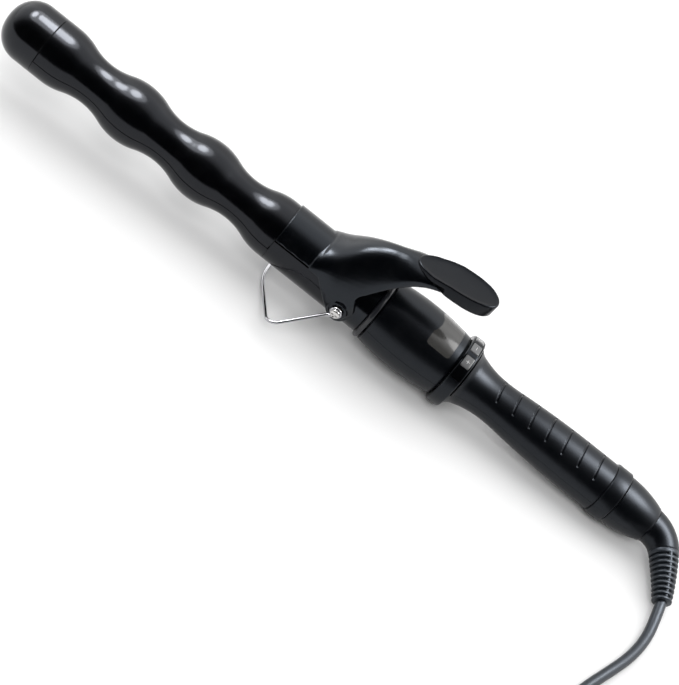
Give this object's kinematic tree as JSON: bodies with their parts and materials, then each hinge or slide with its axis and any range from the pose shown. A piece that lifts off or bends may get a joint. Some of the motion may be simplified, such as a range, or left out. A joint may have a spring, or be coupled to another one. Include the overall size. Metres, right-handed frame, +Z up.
{
  "type": "curling iron",
  "caption": "Hair curling iron with a wavy barrel, spring clamp, thumb lever, wire stand, display, buttons, grooved handle and swivel mains cord.",
  "frame": {"origin": "on the table under the middle of the iron as it rests on its wire stand and control ring, without the free cord", "axes": "+X along the iron from the rounded tip to the cord end, +Z up to the thumb lever, Y along the lever pivot"},
  "size_m": [0.5144, 0.2246, 0.0707],
  "materials": {
    "shell_black": "satin moulded",
    "gloss_black": "high gloss ceramic enamel",
    "gloss_plastic": "polished",
    "ring_black": "glossy bezel",
    "paddle_black": "satin",
    "button_grey": "translucent smoked",
    "lens_smoke": "smoked",
    "chrome_wire": "bright",
    "screw_steel": "plated",
    "brass": "turned",
    "aluminium": "extruded",
    "ceramic": "fired ceramic",
    "insulator": "glass filled",
    "board_green": "solder resist",
    "part_dark": "moulded",
    "wire_red": "silicone",
    "cord_black": "soft matte",
    "spring_steel": "drawn"
  },
  "bodies": {
    "iron": {"tip_cap": "gloss_plastic", "barrel_tube": "gloss_black", "heater_block_upper": "aluminium", "heater_block_lower": "aluminium", "ceramic_heater": "ceramic", "heat_spring_rings": "spring_steel", "heater_wires": "wire_red", "thermistor": "ceramic", "thermal_fuse": "screw_steel", "heat_barrier": "insulator", "pivot_collar": "gloss_plastic", "flange_ring": "gloss_plastic", "pivot_screws": "screw_steel", "housing_upper": "shell_black", "housing_lower": "shell_black", "display_window": "lens_smoke", "circuit_board": "board_green", "display_module": "part_dark", "display_pins": "screw_steel", "power_triac": "part_dark", "mains_capacitor": "part_dark", "control_chip": "part_dark", "control_ring": "ring_black", "tact_switches": "part_dark", "switch_strip": "board_green", "handle_upper": "shell_black", "handle_lower": "shell_black", "shell_screws": "screw_steel", "rear_collar": "gloss_plastic", "rear_cap_upper": "shell_black", "rear_cap_lower": "shell_black", "swivel_brush_holder": "insulator", "mains_wires": "wire_red", "cord_run": "cord_black", "cord_coil": "cord_black", "cord_tie": "cord_black", "cord_tail": "cord_black", "plug_body": "cord_black", "plug_pins": "screw_steel"},
    "lever": {"clip_plate": "gloss_black", "clip_screws": "screw_steel", "lever_arm": "gloss_plastic", "thumb_paddle": "paddle_black", "paddle_screw": "screw_steel", "pivot_bushes": "brass", "lever_spring": "spring_steel"},
    "stand": {"stand_wire": "chrome_wire"},
    "power_button": {"button_power": "button_grey"},
    "minus_button": {"button_minus": "button_grey"},
    "plus_button": {"button_plus": "button_grey"},
    "swivel": {"swivel_elbow": "shell_black", "slip_rings": "brass", "strain_relief": "cord_black"}
  },
  "joints": [
    {"name": "lever_hinge", "type": "hinge", "parent": "iron", "child": "lever", "pos_m": [-0.00226, 0, 0.02294], "axis": [0, 1, 0], "range_deg": [0, 16], "stiffness_Nm_per_rad": 0.5, "springref_deg": -14.32, "deforming": ["lever_spring"]},
    {"name": "stand_swing", "type": "hinge", "parent": "iron", "child": "stand", "pos_m": [-0.00226, 0, 0.02294], "axis": [0, -1, 0], "range_deg": [0, 112]},
    {"name": "power_press", "type": "slide", "parent": "iron", "child": "power_button", "axis": [-0.0461, -0.454, -0.8898], "range_m": [0, 0.0006], "stiffness_N_per_m": 2500, "springref_m": -0.0002},
    {"name": "minus_press", "type": "slide", "parent": "iron", "child": "minus_button", "axis": [-0.0517, 0, -0.9987], "range_m": [0, 0.0006], "stiffness_N_per_m": 2500, "springref_m": -0.0002},
    {"name": "plus_press", "type": "slide", "parent": "iron", "child": "plus_button", "axis": [-0.0461, 0.454, -0.8898], "range_m": [0, 0.0006], "stiffness_N_per_m": 2500, "springref_m": -0.0002},
    {"name": "cord_swivel", "type": "hinge", "parent": "iron", "child": "swivel", "pos_m": [0.18419, 0, 0.01328], "axis": [0.9987, 0, -0.0517], "continuous": true}
  ]
}
